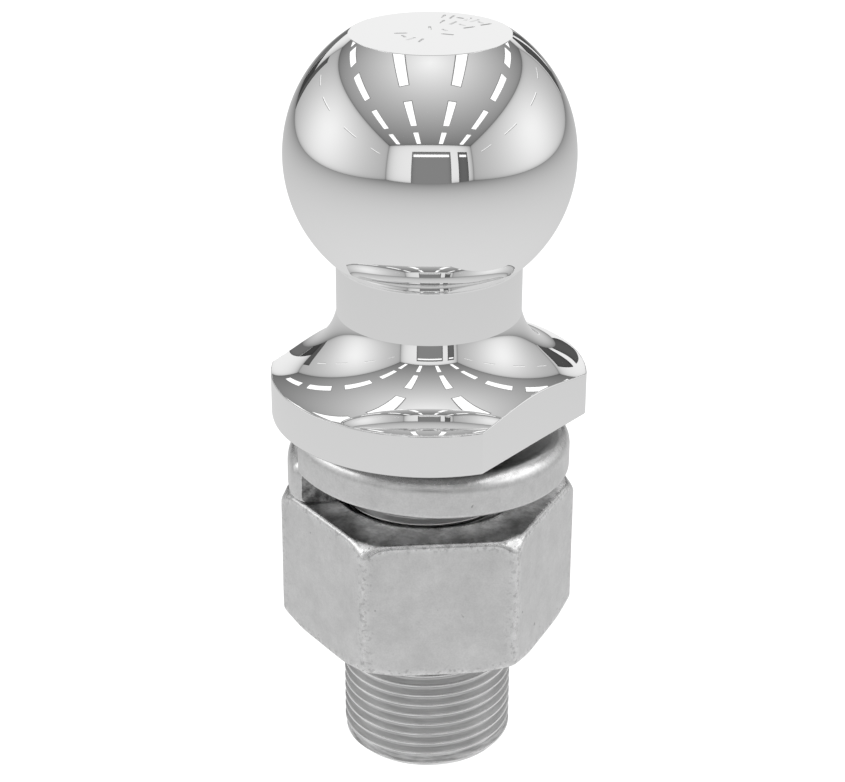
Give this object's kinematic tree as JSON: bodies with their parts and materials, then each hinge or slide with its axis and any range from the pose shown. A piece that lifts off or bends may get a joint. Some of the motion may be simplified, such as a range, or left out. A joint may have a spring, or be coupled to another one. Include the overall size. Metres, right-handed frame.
{
  "type": "trailer hitch ball",
  "caption": "Chrome trailer hitch ball on a threaded shank, with wrench flats on its flange, a split lock washer and a hex nut that unscrews.",
  "frame": {"origin": "centre of the shank's lower end face", "axes": "+Z along the shank, up through the ball; +X is the outward normal of one of the flange's two wrench flats"},
  "size_m": [0.0526, 0.0568, 0.1373],
  "materials": {
    "polished_chrome": "polished chrome plate over forged steel",
    "washer_zinc": "satin clear zinc plate with small dark specks",
    "nut_zinc": "satin clear zinc plate, mottled, worn bright along its edges"
  },
  "bodies": {
    "hitch_ball": {"hitch_ball": "polished_chrome"},
    "lock_washer": {"lock_washer": "washer_zinc"},
    "hex_nut": {"hex_nut": "nut_zinc"}
  },
  "joints": [
    {"name": "washer_drop", "type": "slide", "parent": "hitch_ball", "child": "lock_washer", "axis": [0, 0, -1], "range_m": [0, 0.053]},
    {"name": "nut_turn", "type": "hinge", "parent": "lock_washer", "child": "hex_nut", "pos_m": [0, 0, 0.0389], "axis": [0, 0, -1], "range_deg": [0, 9000]}
  ],
  "couplings": [
    {"joint": "washer_drop", "follows": "nut_turn", "m_per_rad": 0.00033688}
  ]
}
